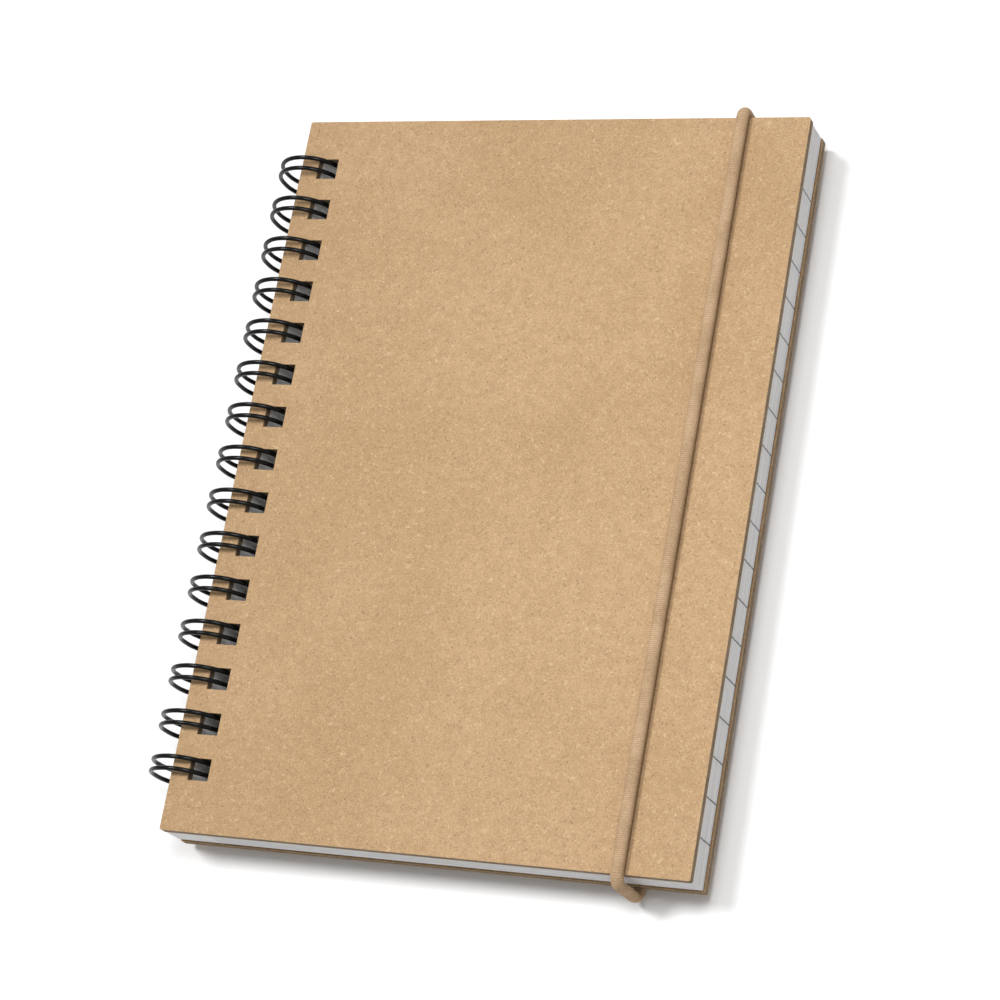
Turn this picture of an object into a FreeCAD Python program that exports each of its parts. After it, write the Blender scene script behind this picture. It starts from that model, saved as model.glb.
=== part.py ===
import FreeCAD, Part
import math
import os
import re

# A pocket sketchbook with laminated kraft board covers, sixty ruled leaves, a
# twin-loop wire binding through square holes, and an elastic cord that holds it shut.
# It lies on its back cover.  X runs from the spine to the fore-edge, Y from the tail
# to the head, Z up.  The origin is the middle of the rectangle that it stands in.
# All sizes are in millimetres.

DIMENSIONS = [
    # covers
    ("board_width", 100.0, "cover, spine edge to fore-edge"),
    ("board_length", 140.0, "cover, tail to head"),
    ("core_thickness", 1.3, "grey board core of a cover"),
    ("liner_thickness", 0.2, "kraft paper glued on each side of the core"),
    ("corner_radius", 0.4, "rounded corners of the covers"),
    ("book_thickness", 10.0, "outside of one cover to outside of the other"),
    # leaves
    ("leaf_groups", 12, "groups of leaves that turn together"),
    ("sheets_per_group", 5, "sheets in one group"),
    ("sheet_thickness", 0.1, "one sheet"),
    ("leaf_inset", 0.2, "leaves inside the covers at head, tail and fore-edge"),
    ("front_gap", 0.1, "air between the front cover and the first leaf"),
    # punched holes
    ("hole_count", 15, "square holes along the spine"),
    ("hole_pitch", 8.467, "three holes to the inch"),
    ("hole_size", 4.1, "side of a square hole"),
    ("hole_margin", 3.45, "spine edge to the near side of a hole"),
    ("hole_head_margin", 10.0, "head edge to the centre of the first hole"),
    # twin-loop wire
    ("wire_diameter", 0.85, "coated wire"),
    ("coil_radius", 6.4, "centre line of the round parts of a loop"),
    ("coil_straight", 1.1, "upright straight between a loop's two half circles"),
    ("coil_offset", 0.6, "loop centre inside the spine edge"),
    ("loop_gap", 2.2, "between the two wires of a loop"),
    ("loop_shift", 0.45, "loops nearer the head than the middle of their holes"),
    ("link_bend", 0.8, "bend between a loop and the link to the next one"),
    ("end_stub", 1.0, "link left at each end of the wire"),
    ("root_angle", 289.0, "where a loop leaves its link, degrees from +X"),
    ("tip_angle", 309.0, "where a loop turns back at its tip, degrees from +X"),
    # elastic closure
    ("elastic_width", 2.35, "cord across, flattened by its tension"),
    ("elastic_height", 1.9, "cord through its thickness"),
    ("elastic_gap", 0.075, "air between the cord and a cover"),
    ("elastic_inset", 12.5, "fore-edge to the middle of the cord"),
    ("head_reach", 1.05, "cord's centre line beyond the head edge"),
    ("tail_reach", 1.75, "cord's centre line beyond the tail edge"),
    ("head_bend", 1.35, "bend radius of the cord at the head"),
    ("tail_bend", 2.4, "bend radius of the cord at the tail"),
    ("anchor_bend", 1.5, "bend radius where the cord turns into its hole"),
    ("anchor_inset", 22.0, "head or tail edge to the cord's hole"),
    ("split_inset", 8.0, "head or tail edge to where the cord starts to slip"),
    ("anchor_hole", 2.8, "diameter of the cord's holes in the back cover"),
    ("clip_length", 9.0, "flat end clip of the cord"),
    ("clip_width", 3.6, "flat end clip across"),
    ("clip_thickness", 0.35, "flat end clip"),
]

# Places worked out from the driving dimensions.
COVER = "(core_thickness + 2 * liner_thickness)"
SPINE_X = "(-(board_width - (coil_radius - coil_offset + wire_diameter / 2)) / 2)"
TAIL_Y = "(-(board_length + head_reach - tail_reach) / 2)"
CENTRE_Z = "(coil_radius + coil_straight / 2 + wire_diameter / 2)"
BACK_Z = f"({CENTRE_Z} - book_thickness / 2)"
FRONT_Z = f"({CENTRE_Z} + book_thickness / 2 - {COVER})"
GROUP = "(sheets_per_group * sheet_thickness)"
LEAVES_TOP_Z = f"({FRONT_Z} - front_gap)"
ELASTIC_X = f"({SPINE_X} + board_width - elastic_inset)"

doc = FreeCAD.newDocument("sketchbook")
sheet = doc.addObject("Spreadsheet::Sheet", "Dimensions")
parts = []


def fill_sheet():
    for row, (alias, number, note) in enumerate(DIMENSIONS, start=1):
        sheet.set(f"A{row}", alias.replace("_", " "))
        sheet.set(f"B{row}", str(number))
        sheet.setAlias(f"B{row}", alias)
        sheet.set(f"C{row}", note)
    doc.recompute()


def size(alias):
    return float(sheet.get(alias))


def bind(thing, place, formula):
    """Tie a property to a formula written in the sheet's aliases."""
    aliases = "|".join(alias for alias, _, _ in DIMENSIONS)
    thing.setExpression(place, re.sub(rf"\b({aliases})\b", r"Dimensions.\1", formula))


def place(thing, x, y, z):
    bind(thing, "Placement.Base.x", x)
    bind(thing, "Placement.Base.y", y)
    bind(thing, "Placement.Base.z", z)


def new_body(label):
    body = doc.addObject("PartDesign::Body", label)
    body.Label = label
    parts.append(body)
    return body


def new_feature(label, shape):
    feature = doc.addObject("Part::Feature", label)
    feature.Label = label
    feature.Shape = shape
    parts.append(feature)
    return feature


def origin_feature(body, role):
    return next(f for f in body.Origin.OriginFeatures if f.Role == role)


def new_sketch(body, name):
    sketch = body.newObject("Sketcher::SketchObject", name)
    sketch.AttachmentSupport = (origin_feature(body, "XY_Plane"), [""])
    sketch.MapMode = "FlatFace"
    return sketch


# ---------------------------------------------------------------- sheets and boards

def add_rectangle(sketch, x, y, width, length):
    """Four lines, with the low corner and the sides tied to the sheet."""
    import Sketcher
    corners = [(1, 1), (2, 1), (2, 2), (1, 2)]
    for n in range(4):
        start = FreeCAD.Vector(*corners[n], 0)
        end = FreeCAD.Vector(*corners[(n + 1) % 4], 0)
        sketch.addGeometry(Part.LineSegment(start, end), False)
    for n in range(4):
        sketch.addConstraint(Sketcher.Constraint("Coincident", n, 2, (n + 1) % 4, 1))
    for n, way in enumerate(["Horizontal", "Vertical", "Horizontal", "Vertical"]):
        sketch.addConstraint(Sketcher.Constraint(way, n))
    sides = [
        ("low_x", Sketcher.Constraint("DistanceX", -1, 1, 0, 1, 1.0), x),
        ("low_y", Sketcher.Constraint("DistanceY", -1, 1, 0, 1, 1.0), y),
        ("wide", Sketcher.Constraint("DistanceX", 0, 1, 0, 2, 1.0), width),
        ("long", Sketcher.Constraint("DistanceY", 1, 1, 1, 2, 1.0), length),
    ]
    for name, constraint, formula in sides:
        number = sketch.addConstraint(constraint)
        sketch.renameConstraint(number, name)
        bind(sketch, f"Constraints.{name}", formula)


def add_pad(body, sketch, thickness):
    pad = body.newObject("PartDesign::Pad", f"{body.Label}_pad")
    pad.Profile = sketch
    bind(pad, "Length", thickness)
    doc.recompute()
    return pad


def add_pocket(body, sketch):
    """Cut right through the sheet, which lies above the sketch's plane."""
    before = body.Shape.Volume
    pocket = body.newObject("PartDesign::Pocket", f"{sketch.Name}_pocket")
    pocket.Profile = sketch
    pocket.Type = "ThroughAll"
    pocket.Reversed = True
    doc.recompute()
    if not body.Shape.Volume < before:
        raise RuntimeError(f"{pocket.Name} cuts nothing")
    return pocket


def round_corners(body, pad):
    upright = []
    for n, edge in enumerate(pad.Shape.Edges, start=1):
        low, high = edge.Vertexes[0].Point, edge.Vertexes[1].Point
        if abs(low.x - high.x) + abs(low.y - high.y) < 1e-6:
            upright.append(f"Edge{n}")
    fillet = body.newObject("PartDesign::Fillet", f"{body.Label}_corners")
    fillet.Base = (pad, upright)
    bind(fillet, "Radius", "corner_radius")
    doc.recompute()


def punch_spine(body, tail_inset):
    """A row of square holes, the first one near the head."""
    sketch = new_sketch(body, f"{body.Label}_hole")
    first = f"board_length - hole_head_margin - hole_size / 2 - {tail_inset}"
    last = f"{first} - (hole_count - 1) * hole_pitch"
    add_rectangle(sketch, "hole_margin", last, "hole_size", "hole_size")
    pocket = add_pocket(body, sketch)
    row = body.newObject("PartDesign::LinearPattern", f"{body.Label}_holes")
    row.Originals = [pocket]
    row.Direction = (origin_feature(body, "Y_Axis"), [""])
    bind(row, "Length", "(hole_count - 1) * hole_pitch")
    bind(row, "Occurrences", "hole_count")
    body.Tip = row
    doc.recompute()


def punch_anchors(body):
    """Two round holes for the ends of the elastic cord."""
    import Sketcher
    sketch = new_sketch(body, f"{body.Label}_anchor_holes")
    places = ["anchor_inset", "board_length - anchor_inset"]
    for n, along in enumerate(places):
        centre = FreeCAD.Vector(80, 20 + 100 * n, 0)
        sketch.addGeometry(Part.Circle(centre, FreeCAD.Vector(0, 0, 1), 1.0), False)
        rules = [
            (f"across_{n}", Sketcher.Constraint("DistanceX", -1, 1, n, 3, 80.0),
             "board_width - elastic_inset"),
            (f"along_{n}", Sketcher.Constraint("DistanceY", -1, 1, n, 3, 20.0), along),
            (f"bore_{n}", Sketcher.Constraint("Diameter", n, 2.0), "anchor_hole"),
        ]
        for name, constraint, formula in rules:
            number = sketch.addConstraint(constraint)
            sketch.renameConstraint(number, name)
            bind(sketch, f"Constraints.{name}", formula)
    add_pocket(body, sketch)


def make_board_layer(label, thickness, z, anchored):
    """One layer of a cover: the grey core or a kraft liner."""
    body = new_body(label)
    sketch = new_sketch(body, f"{label}_outline")
    add_rectangle(sketch, "0", "0", "board_width", "board_length")
    pad = add_pad(body, sketch, thickness)
    round_corners(body, pad)
    punch_spine(body, "0")
    if anchored:
        punch_anchors(body)
    place(body, SPINE_X, TAIL_Y, z)


def make_cover(side, z, anchored, outer_on_top):
    """Liner, core, liner, from the bottom up."""
    low, high = ("lining", "face") if outer_on_top else ("face", "lining")
    make_board_layer(f"{side}_{low}_paper", "liner_thickness", z, anchored)
    make_board_layer(f"{side}_board", "core_thickness", f"{z} + liner_thickness", anchored)
    make_board_layer(f"{side}_{high}_paper", "liner_thickness",
                     f"{z} + liner_thickness + core_thickness", anchored)


def make_leaves():
    """Every sheet is a solid of its own; five make a group that turns as one."""
    master = doc.addObject("PartDesign::Body", "leaf")
    sketch = new_sketch(master, "leaf_outline")
    add_rectangle(sketch, "0", "0", "board_width - leaf_inset",
                  "board_length - 2 * leaf_inset")
    add_pad(master, sketch, "sheet_thickness")
    punch_spine(master, "leaf_inset")
    count = int(size("sheets_per_group"))
    for group in range(int(size("leaf_groups"))):
        sheets = []
        for n in range(count):
            copy = master.Shape.copy()
            copy.translate(FreeCAD.Vector(0, 0, n * size("sheet_thickness")))
            sheets.append(copy)
        feature = new_feature(f"leaves_{group + 1:02d}", Part.makeCompound(sheets))
        place(feature, SPINE_X, f"{TAIL_Y} + leaf_inset",
              f"{LEAVES_TOP_Z} - {group + 1} * {GROUP}")


# ---------------------------------------------------------------- twin-loop wire

def on_coil(angle, level):
    """A point of the centre line on a half circle, and the way round from it."""
    turn = math.radians(angle)
    radius = size("coil_radius")
    point = FreeCAD.Vector(radius * math.cos(turn), 0, level + radius * math.sin(turn))
    return point, FreeCAD.Vector(math.sin(turn), 0, -math.cos(turn))


def half_circle(start, end, level):
    """An arc of the centre line from one angle to another, in degrees."""
    stops = [on_coil(a, level)[0] for a in (start, (start + end) / 2, end)]
    return Part.Arc(*stops)


def one_wire(y):
    """The centre line of one wire from its link round to its tip."""
    level = size("coil_straight") / 2
    left = -size("coil_radius")
    runs = [
        half_circle(size("root_angle"), 180, -level),
        Part.LineSegment(FreeCAD.Vector(left, 0, -level), FreeCAD.Vector(left, 0, level)),
        half_circle(180, 0, level),
        Part.LineSegment(FreeCAD.Vector(-left, 0, level), FreeCAD.Vector(-left, 0, -level)),
        half_circle(360, size("tip_angle"), -level),
    ]
    edges = [run.toShape() for run in runs]
    for edge in edges:
        edge.translate(FreeCAD.Vector(0, y, 0))
    return edges


def link_and_bend(side, length):
    """The straight link beside a loop and its bend, on one side of the loop."""
    level = size("coil_straight") / 2
    bend = size("link_bend")
    root, way = on_coil(size("root_angle"), -level)
    along = FreeCAD.Vector(0, side, 0)
    top = root + along * (size("loop_gap") / 2)
    corner = top - way * bend
    middle = corner + along * bend * (1 - math.sqrt(0.5)) + way * bend * (1 - math.sqrt(0.5))
    start = corner + along * bend
    arc = Part.Arc(top, middle, start).toShape()
    return [Part.makeLine(start + along * length, start), arc]


def make_finger(low_link, high_link):
    """One twin loop with the links on each side of it, as one pipe."""
    half = size("loop_gap") / 2
    tip, way = on_coil(size("tip_angle"), -size("coil_straight") / 2)
    sideways = FreeCAD.Vector(0, half, 0)
    turn = Part.Arc(tip - sideways, tip + way * half, tip + sideways).toShape()
    low = link_and_bend(-1, low_link)
    high = link_and_bend(1, high_link)
    edges = low + one_wire(-half) + [turn] + one_wire(half) + high
    path = Part.Wire(Part.__sortEdges__(edges))
    start = low[0].Vertexes[0].Point
    section = Part.Wire([Part.makeCircle(size("wire_diameter") / 2, start,
                                         FreeCAD.Vector(0, 1, 0))])
    pipe = path.makePipeShell([section], True, False)
    expected = math.pi * (size("wire_diameter") / 2) ** 2 * path.Length
    print(f"finger: volume {pipe.Volume:.3f}, section times length {expected:.3f}")
    return pipe


def make_wire_binding():
    pitch = size("hole_pitch")
    link = pitch / 2 - size("loop_gap") / 2 - size("link_bend")
    count = int(size("hole_count"))
    fingers = []
    for n in range(count):
        low = size("end_stub") if n == 0 else link
        high = size("end_stub") if n == count - 1 else link
        finger = make_finger(low, high)
        finger.translate(FreeCAD.Vector(0, n * pitch, 0))
        fingers.append(finger)
    wire = fingers[0].multiFuse(fingers[1:]).removeSplitter()
    feature = new_feature("wire_binding", wire.Solids[0])
    last_hole = "(board_length - hole_head_margin - (hole_count - 1) * hole_pitch)"
    place(feature, f"{SPINE_X} + coil_offset", f"{TAIL_Y} + {last_hole} + loop_shift",
          CENTRE_Z)


# ---------------------------------------------------------------- elastic closure

def at(y, z):
    return FreeCAD.Vector(0, y, z)


def bend_between(before, corner, after, radius):
    """The two ends and the middle of a right-angled bend at a corner."""
    back = (before - corner).normalize()
    ahead = (after - corner).normalize()
    middle = corner + (back + ahead) * radius * (1 - math.sqrt(0.5))
    return corner + back * radius, middle, corner + ahead * radius


def cord_along(points, radii):
    """A flattened cord along straight runs joined by right-angled bends."""
    edges = []
    here = points[0]
    for n, radius in enumerate(radii, start=1):
        start, middle, end = bend_between(points[n - 1], points[n], points[n + 1], radius)
        edges.append(Part.makeLine(here, start))
        edges.append(Part.Arc(start, middle, end).toShape())
        here = end
    edges.append(Part.makeLine(here, points[-1]))
    path = Part.Wire(edges)
    half_width = size("elastic_width") / 2
    half_height = size("elastic_height") / 2
    centre = points[0]
    side = centre + FreeCAD.Vector(half_width, 0, 0)
    section = Part.Wire([Part.Ellipse(side, centre + at(0, half_height), centre).toShape()])
    cord = path.makePipeShell([section], True, False)
    expected = math.pi * half_width * half_height * path.Length
    print(f"cord: length {path.Length:.1f}, bends {radii}, "
          f"volume {cord.Volume:.2f}, section times length {expected:.2f}")
    return cord


def elastic_levels():
    """The cord's centre line under the back cover and over the front cover."""
    lift = size("elastic_gap") + size("elastic_height") / 2
    return -lift, size("book_thickness") + lift


def make_elastic_loop():
    """The part of the cord that goes round the closed book and slips off it."""
    low, high = elastic_levels()
    length = size("board_length")
    head = length + size("head_reach")
    tail = -size("tail_reach")
    split = size("split_inset")
    points = [at(length - split, low), at(head, low), at(head, high),
              at(tail, high), at(tail, low), at(split, low)]
    radii = [size("head_bend"), size("head_bend"), size("tail_bend"), size("tail_bend")]
    loop = new_feature("elastic_loop", cord_along(points, radii))
    place(loop, ELASTIC_X, TAIL_Y, BACK_Z)


def make_elastic_end(name, split, anchor, y):
    """The run under the back cover, turned up into its hole as far as the clip."""
    low = elastic_levels()[0]
    cover = size("core_thickness") + 2 * size("liner_thickness")
    points = [at(split, low), at(anchor, low), at(anchor, cover)]
    end = new_feature(f"elastic_end_{name}", cord_along(points, [size("anchor_bend")]))
    place(end, ELASTIC_X, TAIL_Y, BACK_Z)
    clip = new_body(f"elastic_clip_{name}")
    sketch = new_sketch(clip, f"clip_{name}_outline")
    add_rectangle(sketch, "-clip_width / 2", "-clip_length / 2", "clip_width", "clip_length")
    pad = add_pad(clip, sketch, "clip_thickness")
    round_corners(clip, pad)
    place(clip, ELASTIC_X, f"{TAIL_Y} + {y}", f"{BACK_Z} + {COVER}")


# ---------------------------------------------------------------- checks and output

def check_document():
    doc.recompute()
    for thing in doc.Objects:
        if "Invalid" in thing.State or "Error" in thing.State:
            raise RuntimeError(f"{thing.Name} failed: {thing.State}")
    for part in parts:
        if part.Shape.isNull() or not part.Shape.isValid():
            raise RuntimeError(f"{part.Label} has no valid shape")


def write_parts():
    os.makedirs("parts", exist_ok=True)
    whole = FreeCAD.BoundBox()
    for part in parts:
        part.Shape.exportStep(f"parts/{part.Label}.step")
        whole.add(part.Shape.BoundBox)
        solids = len(part.Shape.Solids)
        print(f"{part.Label}: {solids} solid(s), {part.Shape.Volume:.2f} mm3")
    print(f"whole: X {whole.XMin:.3f} {whole.XMax:.3f}, Y {whole.YMin:.3f} "
          f"{whole.YMax:.3f}, Z {whole.ZMin:.3f} {whole.ZMax:.3f}")


fill_sheet()
make_cover("back", BACK_Z, anchored=True, outer_on_top=False)
make_cover("front", FRONT_Z, anchored=False, outer_on_top=True)
make_leaves()
make_wire_binding()
make_elastic_loop()
length, split, anchor = size("board_length"), size("split_inset"), size("anchor_inset")
make_elastic_end("head", length - split, length - anchor, "board_length - anchor_inset")
make_elastic_end("tail", split, anchor, "anchor_inset")
check_document()
write_parts()
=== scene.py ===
import math

import bpy
from mathutils import Matrix, Vector


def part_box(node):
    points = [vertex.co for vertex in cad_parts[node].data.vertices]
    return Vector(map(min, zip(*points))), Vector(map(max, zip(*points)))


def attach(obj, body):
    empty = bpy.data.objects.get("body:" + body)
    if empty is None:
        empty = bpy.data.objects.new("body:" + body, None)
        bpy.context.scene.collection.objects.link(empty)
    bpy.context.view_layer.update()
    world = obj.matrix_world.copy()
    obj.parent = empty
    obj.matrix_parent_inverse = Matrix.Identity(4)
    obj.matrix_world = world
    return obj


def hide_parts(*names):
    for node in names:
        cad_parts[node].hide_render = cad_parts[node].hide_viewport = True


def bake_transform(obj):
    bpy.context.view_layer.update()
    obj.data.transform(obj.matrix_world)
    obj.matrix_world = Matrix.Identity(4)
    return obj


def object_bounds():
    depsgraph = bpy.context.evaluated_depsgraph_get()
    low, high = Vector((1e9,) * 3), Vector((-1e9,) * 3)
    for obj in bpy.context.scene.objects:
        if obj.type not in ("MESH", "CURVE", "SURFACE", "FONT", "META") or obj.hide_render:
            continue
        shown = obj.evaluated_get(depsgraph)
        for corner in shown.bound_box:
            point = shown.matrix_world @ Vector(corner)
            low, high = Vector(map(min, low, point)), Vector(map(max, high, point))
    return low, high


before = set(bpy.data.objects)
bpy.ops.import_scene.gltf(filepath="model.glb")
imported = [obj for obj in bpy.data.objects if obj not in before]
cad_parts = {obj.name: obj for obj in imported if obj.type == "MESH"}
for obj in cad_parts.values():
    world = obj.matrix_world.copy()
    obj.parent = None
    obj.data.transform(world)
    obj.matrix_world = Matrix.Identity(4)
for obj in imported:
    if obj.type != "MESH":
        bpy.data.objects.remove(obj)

MM = 0.001
cad_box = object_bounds()

# ---------------------------------------------------------------- the book's own sizes
# Lengths are in metres.  The book lies on its back cover, spine towards -X, head towards +Y.
# Sizes that the frame doesn't give are the same as in the part's own table of dimensions.

BOOK_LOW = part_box("back_face_paper")[0]
BOOK_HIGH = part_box("front_face_paper")[1]
MIDDLE = (BOOK_LOW + BOOK_HIGH) / 2
SPINE_X = BOOK_LOW.x
HEAD_Y = BOOK_HIGH.y
TOP_Z = BOOK_HIGH.z

SHEET_THICKNESS = 0.1 * MM
SHEETS_IN_GROUP = 5
GROUP_THICKNESS = SHEETS_IN_GROUP * SHEET_THICKNESS
LINE_PITCH = 7.0 * MM
FIRST_LINE_Y = HEAD_Y - 13.0 * MM
LINE_COUNT = 18
PUNCHED_STRIP = 9.0 * MM
SHEET_LENGTH_PLAY = 0.0009
SHEET_WIDTH_PLAY = 0.0022
SHEET_SHARE_OF_PITCH = 0.9

WIRE_DIAMETER = 0.85 * MM
COIL_RADIUS = 6.4 * MM
COIL_STRAIGHT = 1.1 * MM
COIL_OFFSET = 0.6 * MM
LOOP_GAP = 2.2 * MM
LOOP_PITCH = 8.467 * MM
LOOP_COUNT = 15
LINK_BEND = 0.8 * MM
END_STUB = 1.0 * MM
ROOT_ANGLE = 289.0
TIP_ANGLE = 309.0

CORD_WIDTH = 2.35 * MM
CORD_HEIGHT = 1.9 * MM
CORD_RIB_PITCH = 0.36 * MM
CORD_RIB_DEPTH = 0.035 * MM
ANCHOR_BEND = 1.5 * MM
HEAD_BEND = 1.35 * MM
TAIL_BEND = 2.4 * MM


# ---------------------------------------------------------------- node helpers

class Paint:
    """A material under construction, with short names for the nodes that it uses."""

    def __init__(self, name):
        self.material = bpy.data.materials.new(name)
        self.material.use_nodes = True
        self.tree = self.material.node_tree
        self.shader = self.tree.nodes["Principled BSDF"]
        self.here = self.add("ShaderNodeTexCoord").outputs["Object"]

    def add(self, kind, **settings):
        node = self.tree.nodes.new(kind)
        for name, value in settings.items():
            setattr(node, name, value)
        return node

    def join(self, source, socket):
        if isinstance(source, bpy.types.NodeSocket):
            self.tree.links.new(source, socket)
        else:
            socket.default_value = source

    def math(self, operation, a, b=0.0, clamp=False):
        node = self.add("ShaderNodeMath", operation=operation, use_clamp=clamp)
        self.join(a, node.inputs[0])
        self.join(b, node.inputs[1])
        return node.outputs[0]

    def stretched(self, scale, turn=0.0):
        node = self.add("ShaderNodeMapping")
        self.join(self.here, node.inputs["Vector"])
        node.inputs["Rotation"].default_value = (0.0, 0.0, turn)
        node.inputs["Scale"].default_value = scale
        return node.outputs["Vector"]

    def noise(self, size, detail=2.0, where=None, distortion=0.0, roughness=0.5):
        """Noise whose lumps are about size metres across."""
        node = self.add("ShaderNodeTexNoise")
        self.join(where or self.here, node.inputs["Vector"])
        node.inputs["Scale"].default_value = 1.0 / size
        node.inputs["Detail"].default_value = detail
        node.inputs["Distortion"].default_value = distortion
        node.inputs["Roughness"].default_value = roughness
        return node.outputs["Fac"]

    def cells(self, size, where=None):
        node = self.add("ShaderNodeTexVoronoi")
        self.join(where or self.here, node.inputs["Vector"])
        node.inputs["Scale"].default_value = 1.0 / size
        return node.outputs["Distance"], node.outputs["Color"]

    def band(self, value, low, high):
        """0 below low, 1 above high, smooth between; the other way round if low > high."""
        node = self.add("ShaderNodeMapRange", interpolation_type="SMOOTHSTEP")
        self.join(value, node.inputs["Value"])
        node.inputs["From Min"].default_value = min(low, high)
        node.inputs["From Max"].default_value = max(low, high)
        if low > high:
            node.inputs["To Min"].default_value = 1.0
            node.inputs["To Max"].default_value = 0.0
        return node.outputs["Result"]

    def mix(self, amount, a, b):
        node = self.add("ShaderNodeMix", data_type="RGBA")
        self.join(amount, node.inputs["Factor"])
        for colour, socket in ((a, node.inputs[6]), (b, node.inputs[7])):
            self.join(colour if isinstance(colour, bpy.types.NodeSocket) else (*colour, 1.0),
                      socket)
        return node.outputs[2]

    def fibres(self, size, width, share, where=None):
        """Short crooked hairs: thin contour lines of a noise, broken up by another."""
        lumps = self.noise(size, 1.5, where, distortion=0.6)
        off_line = self.math("ABSOLUTE", self.math("SUBTRACT", lumps, 0.5))
        line = self.band(off_line, width, 0.3 * width)
        pieces = self.band(self.noise(size * 0.8, 0.0, where), 1.0 - share, 1.06 - share)
        return self.math("MULTIPLY", line, pieces)

    def bump(self, height, strength, distance):
        node = self.add("ShaderNodeBump")
        node.inputs["Strength"].default_value = strength
        node.inputs["Distance"].default_value = distance
        self.join(height, node.inputs["Height"])
        self.join(node.outputs["Normal"], self.shader.inputs["Normal"])

    def finish(self, colour, roughness, specular=0.5, **constants):
        self.join(colour, self.shader.inputs["Base Color"])
        self.join(roughness, self.shader.inputs["Roughness"])
        self.shader.inputs["Specular IOR Level"].default_value = specular
        for name, value in constants.items():
            self.shader.inputs[name.replace("_", " ")].default_value = value
        return self.material


# ---------------------------------------------------------------- materials

KRAFT = (0.415, 0.268, 0.139)
KRAFT_DARK = (0.305, 0.185, 0.087)
KRAFT_LIGHT = (0.505, 0.337, 0.190)
FIBRE_LIGHT = (0.680, 0.500, 0.310)
FIBRE_DARK = (0.180, 0.104, 0.050)
SPECK = (0.100, 0.055, 0.027)


def kraft_paper(name, shade=1.0):
    """Unbleached liner: cloudy tan, short pale and dark hairs, and bark specks."""
    p = Paint(name)
    tint = [tuple(shade * c for c in colour) for colour in (KRAFT_DARK, KRAFT, KRAFT_LIGHT)]
    cloud = p.noise(26 * MM, 2.0)
    mottle = p.noise(1.7 * MM, 3.0, roughness=0.6)
    grain = p.noise(0.28 * MM, 3.0, roughness=0.7)
    colour = p.mix(p.math("MULTIPLY", p.band(cloud, 0.35, 0.65), 0.5), tint[1], tint[2])
    colour = p.mix(p.math("MULTIPLY", p.band(mottle, 0.60, 0.38), 0.30), colour, tint[0])
    colour = p.mix(p.math("MULTIPLY", p.band(grain, 0.52, 0.32), 0.65), colour, tint[0])
    colour = p.mix(p.math("MULTIPLY", p.band(grain, 0.50, 0.70), 0.65), colour, tint[2])
    pale = p.math("ADD", p.fibres(1.0 * MM, 0.030, 0.44),
                  p.fibres(0.6 * MM, 0.036, 0.42, p.stretched((1, 1, 1), 1.1)), clamp=True)
    dark = p.fibres(0.7 * MM, 0.036, 0.44, p.stretched((1, 1, 1), 2.3))
    colour = p.mix(p.math("MULTIPLY", dark, 0.55), colour, FIBRE_DARK)
    colour = p.mix(p.math("MULTIPLY", pale, 0.42), colour, FIBRE_LIGHT)
    for size, share, strength in ((0.9 * MM, 0.90, 0.55), (3.1 * MM, 0.84, 0.75)):
        distance, lot = p.cells(size)
        few = p.band(lot, share, share + 0.03)
        dot = p.math("MULTIPLY", p.band(distance, 0.16 * MM / size, 0.07 * MM / size), few)
        colour = p.mix(p.math("MULTIPLY", dot, strength), colour, SPECK)
    height = p.math("ADD", p.math("MULTIPLY", grain, 0.8), p.math("MULTIPLY", pale, 0.5))
    p.bump(height, 0.45, 0.03 * MM)
    return p.finish(colour, p.math("ADD", p.math("MULTIPLY", mottle, 0.14), 0.70), 0.28)


def grey_board():
    """Pressed pulp seen at its cut edge: thin plies, torn fibres and knife marks."""
    p = Paint("cut_grey_board")
    plies = p.noise(0.16 * MM, 3.0, p.stretched((0.05, 0.05, 1.0)))
    pulp = p.noise(0.5 * MM, 3.0)
    colour = p.mix(p.band(plies, 0.35, 0.66), (0.110, 0.078, 0.048), (0.240, 0.178, 0.115))
    colour = p.mix(p.math("MULTIPLY", p.band(pulp, 0.42, 0.7), 0.4), colour,
                   (0.300, 0.232, 0.155))
    p.bump(p.math("ADD", plies, pulp), 0.6, 0.06 * MM)
    return p.finish(colour, 0.86, 0.2)


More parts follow.
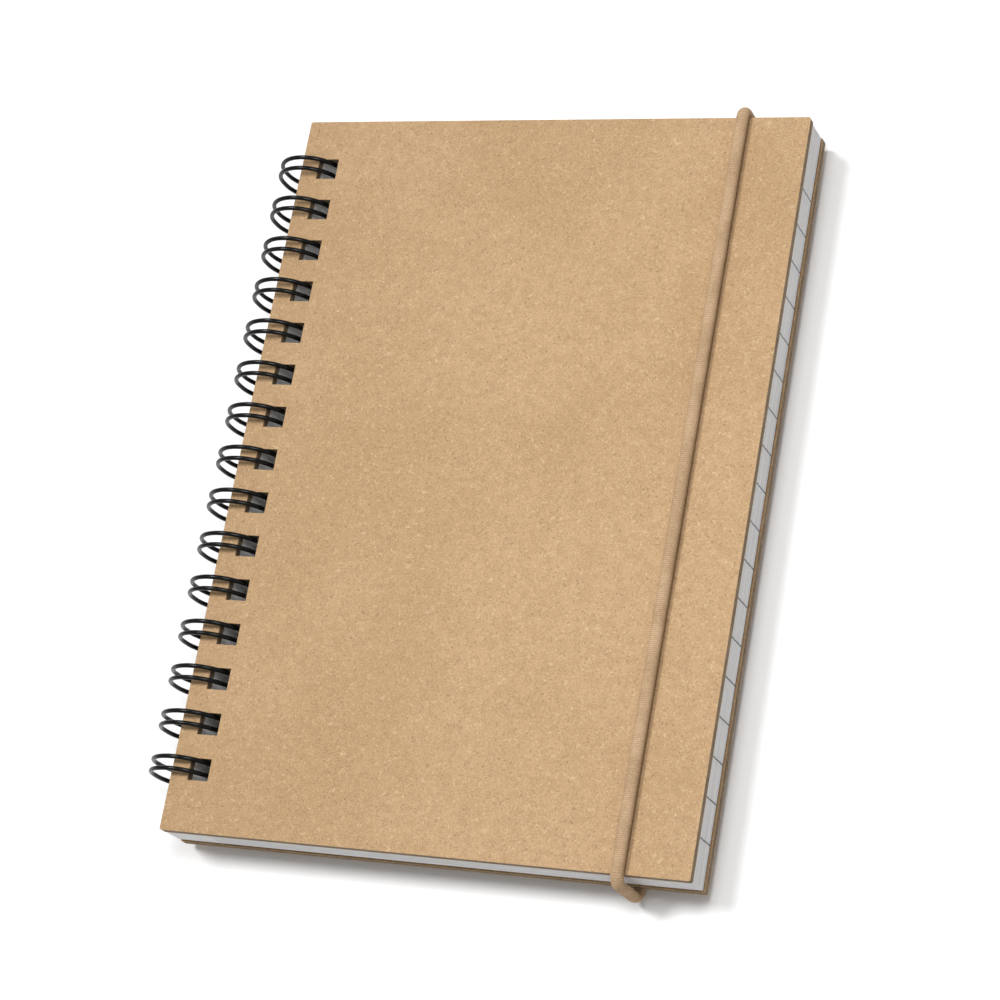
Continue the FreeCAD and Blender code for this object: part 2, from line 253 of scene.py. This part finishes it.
def ruled_paper():
    """Uncoated paper with grey rules that run out at the fore-edge.

    Near the spine, round the holes, a painted highlight makes it paler, and dark lines of
    painted shade mark the boundaries between the groups of sheets.
    """
    p = Paint("ruled_paper")
    split = p.add("ShaderNodeSeparateXYZ")
    p.join(p.here, split.inputs[0])
    slip = p.noise(0.1 * MM, 0.0, p.stretched((0.0, 0.0, 1.0)))
    wander = p.math("MULTIPLY", p.math("SUBTRACT", slip, 0.5), 0.10 * MM)
    along = p.math("ADD", split.outputs["Y"], wander)
    steps = p.math("DIVIDE", p.math("SUBTRACT", FIRST_LINE_Y, along), LINE_PITCH)
    nearest = p.math("ABSOLUTE", p.math("SUBTRACT", steps, p.math("ROUND", steps)))
    line = p.band(nearest, 0.026, 0.014)
    line = p.math("MULTIPLY", line, p.math("GREATER_THAN", steps, -0.5))
    line = p.math("MULTIPLY", line, p.math("LESS_THAN", steps, LINE_COUNT - 0.5))
    tooth = p.noise(0.25 * MM, 3.0)
    age = p.noise(0.12 * MM, 1.0, p.stretched((0.002, 0.002, 1.0)))
    colour = p.mix(p.band(age, 0.3, 0.72), (0.680, 0.674, 0.674), (0.850, 0.843, 0.838))
    colour = p.mix(p.math("MULTIPLY", tooth, 0.15), colour, (0.87, 0.86, 0.84))
    colour = p.mix(p.math("MULTIPLY", line, 0.85), colour, (0.115, 0.115, 0.118))
    punched = p.band(split.outputs["X"], SPINE_X + PUNCHED_STRIP,
                     SPINE_X + PUNCHED_STRIP - 1.0 * MM)
    # painted shade: dark lines at the boundaries between groups of sheets, in the strip round
    # the holes
    layer = p.math("MODULO", p.math("DIVIDE", split.outputs["Z"], GROUP_THICKNESS), 1.0)
    edge = p.math("ABSOLUTE", p.math("SUBTRACT", layer, 0.5))
    painted_gap_shade = p.math("MULTIPLY", p.band(edge, 0.38, 0.48), punched)
    # painted highlight: the strip round the holes is made paler, standing in for light on the
    # hole walls
    colour = p.mix(p.math("MULTIPLY", punched, 0.9), colour, (0.93, 0.925, 0.915))
    colour = p.mix(p.math("MULTIPLY", painted_gap_shade, 0.75), colour, (0.16, 0.157, 0.153))
    p.bump(tooth, 0.25, 0.02 * MM)
    return p.finish(colour, 0.82, 0.25)


def black_wire_coat():
    """Steel wire with a glossy black coat, slightly uneven."""
    p = Paint("black_wire_coat")
    film = p.noise(0.9 * MM, 3.0)
    colour = p.mix(p.band(film, 0.3, 0.7), (0.002, 0.002, 0.002), (0.005, 0.005, 0.005))
    p.bump(p.noise(0.25 * MM, 2.0), 0.15, 0.01 * MM)
    roughness = p.math("ADD", p.math("MULTIPLY", film, 0.12), 0.17)
    return p.finish(colour, roughness, 0.22)


def elastic_yarn():
    """Braided cover with loose lint; painted shade makes the rib valleys darker than the crests.
    """
    p = Paint("elastic_yarn")
    rib = p.add("ShaderNodeAttribute", attribute_name="rib").outputs["Fac"]
    lint = p.noise(0.20 * MM, 3.0, roughness=0.7)
    patch = p.noise(4.0 * MM, 2.0)
    colour = p.mix(p.band(patch, 0.35, 0.65), (0.390, 0.258, 0.146), (0.465, 0.316, 0.188))
    # painted shade: the valleys between the ribs are darkened
    colour = p.mix(p.math("MULTIPLY", p.band(rib, 0.8, 0.1), 0.35), colour,
                   (0.150, 0.090, 0.046))
    colour = p.mix(p.math("MULTIPLY", p.band(lint, 0.50, 0.72), 0.5), colour,
                   (0.760, 0.585, 0.405))
    colour = p.mix(p.math("MULTIPLY", p.band(lint, 0.46, 0.28), 0.4), colour,
                   (0.200, 0.126, 0.070))
    p.bump(lint, 0.6, 0.05 * MM)
    return p.finish(colour, 0.85, 0.2)


def clip_steel():
    p = Paint("clip_steel")
    brushed = p.noise(0.2 * MM, 3.0, p.stretched((1.0, 0.05, 1.0)))
    colour = p.mix(brushed, (0.46, 0.46, 0.47), (0.62, 0.62, 0.63))
    roughness = p.math("ADD", p.math("MULTIPLY", brushed, 0.2), 0.25)
    return p.finish(colour, roughness, 0.5, Metallic=1.0)


kraft_face = kraft_paper("kraft_face_paper")
kraft_lining = kraft_paper("kraft_lining_paper", 0.92)
board = grey_board()
paper = ruled_paper()
wire_coat = black_wire_coat()
yarn = elastic_yarn()
steel = clip_steel()

FINISHES = {
    "front_face_paper": kraft_face,
    "back_face_paper": kraft_face,
    "front_lining_paper": kraft_lining,
    "back_lining_paper": kraft_lining,
    "front_board": board,
    "back_board": board,
    "elastic_clip_head": steel,
    "elastic_clip_tail": steel,
}
for node, material in FINISHES.items():
    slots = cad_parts[node].data.materials
    slots.clear()
    slots.append(material)


# ---------------------------------------------------------------- geometry node helpers

class Recipe:
    """A Geometry Nodes tree under construction."""

    def __init__(self, name, **sizes):
        self.tree = bpy.data.node_groups.new(name, "GeometryNodeTree")
        face = self.tree.interface
        face.new_socket("Geometry", in_out="INPUT", socket_type="NodeSocketGeometry")
        self.keys = {}
        for size, kind in sizes.items():
            item = face.new_socket(size, in_out="INPUT", socket_type=f"NodeSocket{kind}")
            self.keys[size] = item.identifier
        face.new_socket("Geometry", in_out="OUTPUT", socket_type="NodeSocketGeometry")
        self.inputs = self.tree.nodes.new("NodeGroupInput").outputs
        self.output = self.tree.nodes.new("NodeGroupOutput").inputs[0]

    def add(self, kind, links=None, **settings):
        node = self.tree.nodes.new(kind)
        for name, value in settings.items():
            setattr(node, name, value)
        for name, source in (links or {}).items():
            socket = node.inputs[name]
            if isinstance(source, bpy.types.NodeSocket):
                self.tree.links.new(source, socket)
            else:
                socket.default_value = source
        return node.outputs

    def math(self, operation, a, b=0.0):
        return self.add("ShaderNodeMath", {0: a, 1: b}, operation=operation)[0]

    def end(self, geometry):
        real = self.add("GeometryNodeRealizeInstances", {0: geometry})[0]
        coloured = self.add("GeometryNodeSetMaterial",
                            {"Geometry": real, "Material": self.inputs["Material"]})[0]
        self.tree.links.new(coloured, self.output)

    def make(self, name, seed_mesh, **values):
        """Runs the tree on a mesh and gives back a plain object with the result."""
        source = bpy.data.objects.new(f"{name}_source", seed_mesh)
        bpy.context.scene.collection.objects.link(source)
        modifier = source.modifiers.new("recipe", "NODES")
        modifier.node_group = self.tree
        for size, value in values.items():
            modifier[self.keys[size]] = value
        bpy.context.view_layer.update()
        evaluated = source.evaluated_get(bpy.context.evaluated_depsgraph_get())
        mesh = bpy.data.meshes.new_from_object(evaluated)
        bpy.data.objects.remove(source)
        mesh.name = name
        piece = bpy.data.objects.new(name, mesh)
        bpy.context.scene.collection.objects.link(piece)
        return piece


def line_mesh(name, points):
    mesh = bpy.data.meshes.new(name)
    mesh.from_pydata(points, [(n, n + 1) for n in range(len(points) - 1)], [])
    return mesh


# ---------------------------------------------------------------- twin-loop wire

def arc_points(centre, start, end, radius, y, step=6.0):
    """Points of an upright arc at one Y, between two angles in degrees."""
    count = max(2, round(abs(end - start) / step))
    turns = [math.radians(start + (end - start) * n / count) for n in range(count + 1)]
    return [Vector((centre.x + radius * math.cos(a), y, centre.z + radius * math.sin(a)))
            for a in turns]


def quarter_points(start, towards, then, radius, count=6):
    """A right-angled bend that leaves start along one direction and ends along another."""
    return [start + towards * radius * math.sin(a) + then * radius * (1 - math.cos(a))
            for a in (math.pi / 2 * n / count for n in range(1, count + 1))]


def finger_points():
    """Centre line of one twin loop and of half the link on each side, at Y = 0."""
    up = Vector((0, 0, COIL_STRAIGHT / 2))
    half = LOOP_GAP / 2
    turn = math.radians(ROOT_ANGLE)
    way = Vector((math.sin(turn), 0, -math.cos(turn)))
    side = Vector((0, 1, 0))

    def loop(y):
        return (arc_points(-up, ROOT_ANGLE, 180, COIL_RADIUS, y)
                + arc_points(up, 180, 0, COIL_RADIUS, y)
                + arc_points(-up, 360, TIP_ANGLE, COIL_RADIUS, y))

    first, second = loop(-half), loop(half)
    link_end = first[0] - way * LINK_BEND
    link_end.y = -LOOP_PITCH / 2
    corner = first[0] - way * LINK_BEND - side * LINK_BEND
    low = [link_end] + [corner] + quarter_points(corner, side, way, LINK_BEND)[:-1]
    tip_turn = math.radians(TIP_ANGLE)
    tip_way = Vector((math.sin(tip_turn), 0, -math.cos(tip_turn)))
    tip = [first[-1] + side * half * (1 - math.cos(a)) + tip_way * half * math.sin(a)
           for a in (math.pi * n / 12 for n in range(1, 12))]
    high = [Vector((p.x, -p.y, p.z)) for p in reversed(low)]
    return low + first + tip + list(reversed(second)) + high


def wire_recipe():
    recipe = Recipe("twin_loop_wire", Loops="Int", Pitch="Float", Wire_radius="Float",
                    Trim="Float", Material="Material")
    inputs = recipe.inputs
    step = recipe.add("ShaderNodeCombineXYZ", {"Y": inputs["Pitch"]})[0]
    row = recipe.add("GeometryNodeMeshLine", {"Count": inputs["Loops"], "Offset": step})[0]
    fingers = recipe.add("GeometryNodeInstanceOnPoints",
                         {"Points": row, "Instance": inputs["Geometry"]})[0]
    real = recipe.add("GeometryNodeRealizeInstances", {0: fingers})[0]
    joined = recipe.add("GeometryNodeMergeByDistance",
                        {"Geometry": real, "Distance": 0.01 * MM})[0]
    path = recipe.add("GeometryNodeMeshToCurve", {"Mesh": joined})[0]
    whole = recipe.add("GeometryNodeCurveLength", {"Curve": path})[0]
    far = recipe.math("SUBTRACT", whole, inputs["Trim"])
    trimmed = recipe.tree.nodes.new("GeometryNodeTrimCurve")
    trimmed.mode = "LENGTH"
    recipe.tree.links.new(path, trimmed.inputs["Curve"])
    recipe.tree.links.new(inputs["Trim"], trimmed.inputs[4])
    recipe.tree.links.new(far, trimmed.inputs[5])
    section = recipe.add("GeometryNodeCurvePrimitiveCircle",
                         {"Resolution": 12, "Radius": inputs["Wire_radius"]})[0]
    tube = recipe.add("GeometryNodeCurveToMesh",
                      {"Curve": trimmed.outputs[0], "Profile Curve": section,
                       "Fill Caps": True})[0]
    recipe.end(tube)
    return recipe


def make_wire():
    low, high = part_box("wire_binding")
    first_y = (low.y + high.y) / 2 - (LOOP_COUNT - 1) * LOOP_PITCH / 2
    centre = Vector((SPINE_X + COIL_OFFSET, first_y, MIDDLE.z))
    points = [p + centre for p in finger_points()]
    trim = LOOP_PITCH / 2 - LOOP_GAP / 2 - LINK_BEND - END_STUB
    piece = wire_recipe().make("twin_loop_wire", line_mesh("finger", points),
                               Loops=LOOP_COUNT, Pitch=LOOP_PITCH,
                               Wire_radius=WIRE_DIAMETER / 2, Trim=trim,
                               Material=wire_coat)
    piece.data.shade_smooth()
    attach(piece, "wire")
    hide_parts("wire_binding")
    return piece


# ---------------------------------------------------------------- leaves

def single_sheet(node):
    """The lowest sheet of a leaf group, as a mesh with its holes."""
    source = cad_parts[node].data
    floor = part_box(node)[0].z
    top = floor + SHEET_THICKNESS
    slack = 0.2 * SHEET_THICKNESS
    faces = []
    for face in source.polygons:
        heights = [source.vertices[v].co.z for v in face.vertices]
        facing_down = face.normal.z < -0.5
        if max(heights) < top + slack and not (facing_down and min(heights) > floor + slack):
            faces.append([tuple(source.vertices[v].co) for v in face.vertices])
    points = sorted({p for face in faces for p in face})
    place = {p: n for n, p in enumerate(points)}
    mesh = bpy.data.meshes.new(f"{node}_sheet")
    mesh.from_pydata(points, [], [[place[p] for p in face] for face in faces])
    return mesh


def leaf_recipe():
    """Sheets laid on each other, each a hair out of line with the next."""
    recipe = Recipe("leaf_stack", Sheets="Int", Pitch="Float", Seed="Int",
                    Hinge="Vector", Length_play="Float", Width_play="Float",
                    Thinner="Float", Material="Material")
    inputs = recipe.inputs
    step = recipe.add("ShaderNodeCombineXYZ", {"Z": inputs["Pitch"]})[0]
    row = recipe.add("GeometryNodeMeshLine", {"Count": inputs["Sheets"], "Offset": step})[0]
    back = recipe.add("ShaderNodeVectorMath", {0: (0, 0, 0), 1: inputs["Hinge"]},
                      operation="SUBTRACT")[0]
    centred = recipe.add("GeometryNodeTransform",
                         {"Geometry": inputs["Geometry"], "Translation": back})[0]

    def draw(play, number):
        low = recipe.math("SUBTRACT", 1.0, play)
        seed = recipe.math("ADD", inputs["Seed"], number)
        node = recipe.tree.nodes.new("FunctionNodeRandomValue")
        node.data_type = "FLOAT"
        recipe.tree.links.new(low, node.inputs[2])
        node.inputs[3].default_value = 1.0
        recipe.tree.links.new(seed, node.inputs[8])
        return node.outputs[1]

    scale = recipe.add("ShaderNodeCombineXYZ",
                       {"X": draw(inputs["Width_play"], 0), "Y": draw(inputs["Length_play"], 50),
                        "Z": inputs["Thinner"]})[0]
    laid = recipe.add("GeometryNodeInstanceOnPoints",
                      {"Points": row, "Instance": centred, "Scale": scale})[0]
    real = recipe.add("GeometryNodeRealizeInstances", {0: laid})[0]
    home = recipe.add("GeometryNodeTransform",
                      {"Geometry": real, "Translation": inputs["Hinge"]})[0]
    recipe.end(home)
    return recipe


def make_leaves():
    recipe = leaf_recipe()
    groups = sorted(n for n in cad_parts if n.startswith("leaves_"))
    for number, node in enumerate(groups):
        low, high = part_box(node)
        hinge = Vector((low.x, (low.y + high.y) / 2, low.z))
        piece = recipe.make(node.replace("leaves", "leaf_stack"), single_sheet(node),
                            Sheets=SHEETS_IN_GROUP, Pitch=SHEET_THICKNESS, Seed=7 * number,
                            Hinge=hinge, Length_play=SHEET_LENGTH_PLAY,
                            Width_play=SHEET_WIDTH_PLAY, Thinner=SHEET_SHARE_OF_PITCH,
                            Material=paper)
        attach(piece, node.replace("leaves", "leaf_group"))
        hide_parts(node)


# ---------------------------------------------------------------- elastic cord

def rounded_route(points, radii, count=10):
    """Straight runs joined by right-angled bends."""
    route = [points[0]]
    for n, radius in enumerate(radii, start=1):
        back = (points[n - 1] - points[n]).normalized()
        ahead = (points[n + 1] - points[n]).normalized()
        start = points[n] + back * radius
        route.append(start)
        route += quarter_points(start, -back, ahead, radius, count)
    return route + [points[-1]]


def cord_recipe():
    """A flattened cord whose cover stands in fine cross ribs."""
    recipe = Recipe("ribbed_cord", Width="Float", Height="Float", Rib_pitch="Float",
                    Rib_depth="Float", Step="Float", Material="Material")
    inputs = recipe.inputs
    path = recipe.add("GeometryNodeMeshToCurve", {"Mesh": inputs["Geometry"]})[0]
    fine = recipe.tree.nodes.new("GeometryNodeResampleCurve")
    fine.mode = "LENGTH"
    recipe.tree.links.new(path, fine.inputs["Curve"])
    recipe.tree.links.new(inputs["Step"], fine.inputs["Length"])
    across = recipe.add("GeometryNodeSetCurveNormal",
                        {"Curve": fine.outputs[0], "Normal": (1, 0, 0)}, mode="FREE")[0]
    travelled = recipe.add("GeometryNodeSplineParameter")["Length"]
    phase = recipe.math("DIVIDE", recipe.math("MULTIPLY", travelled, 2 * math.pi),
                        inputs["Rib_pitch"])
    kept = recipe.tree.nodes.new("GeometryNodeStoreNamedAttribute")
    kept.data_type = "FLOAT"
    kept.domain = "POINT"
    kept.inputs["Name"].default_value = "phase"
    recipe.tree.links.new(across, kept.inputs["Geometry"])
    recipe.tree.links.new(phase, kept.inputs["Value"])
    circle = recipe.add("GeometryNodeCurvePrimitiveCircle", {"Resolution": 20, "Radius": 0.5})[0]
    shape = recipe.add("ShaderNodeCombineXYZ",
                       {"X": inputs["Width"], "Y": inputs["Height"], "Z": 1.0})[0]
    section = recipe.add("GeometryNodeTransform", {"Geometry": circle, "Scale": shape})[0]
    tube = recipe.add("GeometryNodeCurveToMesh",
                      {"Curve": kept.outputs[0], "Profile Curve": section,
                       "Fill Caps": True})[0]
    named = recipe.tree.nodes.new("GeometryNodeInputNamedAttribute")
    named.data_type = "FLOAT"
    named.inputs["Name"].default_value = "phase"
    wave = recipe.math("SINE", named.outputs["Attribute"])
    rib = recipe.math("MULTIPLY", recipe.math("ADD", wave, 1.0), 0.5)
    normal = recipe.add("GeometryNodeInputNormal")[0]
    sink = recipe.math("MULTIPLY", recipe.math("SUBTRACT", rib, 1.0), inputs["Rib_depth"])
    offset = recipe.add("ShaderNodeVectorMath", {0: normal, "Scale": sink},
                        operation="SCALE")[0]
    ribbed = recipe.add("GeometryNodeSetPosition", {"Geometry": tube, "Offset": offset})[0]
    marked = recipe.tree.nodes.new("GeometryNodeStoreNamedAttribute")
    marked.data_type = "FLOAT"
    marked.domain = "POINT"
    marked.inputs["Name"].default_value = "rib"
    recipe.tree.links.new(ribbed, marked.inputs["Geometry"])
    recipe.tree.links.new(rib, marked.inputs["Value"])
    recipe.end(marked.outputs[0])
    return recipe


def make_elastic():
    loop_low, loop_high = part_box("elastic_loop")
    x = (loop_low.x + loop_high.x) / 2
    half = CORD_HEIGHT / 2
    under, over = loop_low.z + half, loop_high.z - half
    head, tail = loop_high.y - half, loop_low.y + half
    anchors = {end: (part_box(f"elastic_clip_{end}")[0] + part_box(f"elastic_clip_{end}")[1]) / 2
               for end in ("head", "tail")}
    hole_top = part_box("elastic_clip_head")[0].z
    corners = [(anchors["head"].y, hole_top), (anchors["head"].y, under), (head, under),
               (head, over), (tail, over), (tail, under), (anchors["tail"].y, under),
               (anchors["tail"].y, hole_top)]
    points = [Vector((x, y, z)) for y, z in corners]
    radii = [ANCHOR_BEND, HEAD_BEND, HEAD_BEND, TAIL_BEND, TAIL_BEND, ANCHOR_BEND]
    route = rounded_route(points, radii)
    piece = cord_recipe().make("elastic_cord", line_mesh("cord_route", route),
                               Width=CORD_WIDTH, Height=CORD_HEIGHT,
                               Rib_pitch=CORD_RIB_PITCH, Rib_depth=CORD_RIB_DEPTH,
                               Step=CORD_RIB_PITCH / 4, Material=yarn)
    piece.data.shade_smooth()
    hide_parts("elastic_loop", "elastic_end_head", "elastic_end_tail")
    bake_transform(piece)
    return piece


make_wire()
make_leaves()
make_elastic()


# ---------------------------------------------------------------- studio

def aim(thing, place, target, roll=0.0):
    """Puts a camera or a light at a place, looking at a target."""
    look = (Vector(target) - Vector(place)).to_track_quat("-Z", "Y").to_matrix().to_4x4()
    thing.matrix_world = Matrix.Translation(place) @ look @ Matrix.Rotation(roll, 4, "Z")


def add_lamp(kind, name, place, target, power, **settings):
    data = bpy.data.lights.new(name, kind)
    data.energy = power
    for setting, value in settings.items():
        setattr(data, setting, value)
    lamp = bpy.data.objects.new(name, data)
    bpy.context.scene.collection.objects.link(lamp)
    aim(lamp, place, target)


def add_floor():
    p = Paint("pale_floor")
    wash = p.noise(0.4, 2.0)
    colour = p.mix(wash, (0.90, 0.90, 0.90), (0.93, 0.93, 0.93))
    p.finish(colour, 0.9, 0.1)
    mesh = bpy.data.meshes.new("floor")
    side = 3.0
    corners = [(-side, -side), (side, -side), (side, side), (-side, side)]
    level = cad_box[0][2]
    mesh.from_pydata([(x, y, level) for x, y in corners], [], [(0, 1, 2, 3)])
    mesh.materials.append(p.material)
    floor = bpy.data.objects.new("floor", mesh)
    bpy.context.scene.collection.objects.link(floor)


def add_camera():
    """Looks down on the front cover from beyond the tail and the fore-edge."""
    azimuth, elevation, distance = math.radians(52.35), math.radians(59.94), 0.5254
    target = Vector((6.8 * MM, -4.8 * MM, TOP_Z))
    away = Vector((math.sin(azimuth) * math.cos(elevation),
                   -math.cos(azimuth) * math.cos(elevation), math.sin(elevation)))
    data = bpy.data.cameras.new("camera")
    data.sensor_width = 36.0
    data.lens = 106.8
    camera = bpy.data.objects.new("camera", data)
    bpy.context.scene.collection.objects.link(camera)
    aim(camera, target + away * distance, target, roll=math.radians(-45.72))
    bpy.context.scene.camera = camera


def add_world():
    world = bpy.data.worlds.new("studio")
    world.use_nodes = True
    background = world.node_tree.nodes["Background"]
    background.inputs["Color"].default_value = (1, 1, 1, 1)
    background.inputs["Strength"].default_value = 0.42
    bpy.context.scene.world = world
    bpy.context.scene.view_settings.view_transform = "Standard"


add_floor()
add_camera()
add_world()
add_lamp("SUN", "ceiling_light", (-0.36, 0.17, 0.92), (0, 0, 0), 1.85, angle=math.radians(15))
add_lamp("AREA", "softbox", (0.07, 0.0, 0.30), (0.03, 0, 0), 0.45, shape="DISK", size=0.12)
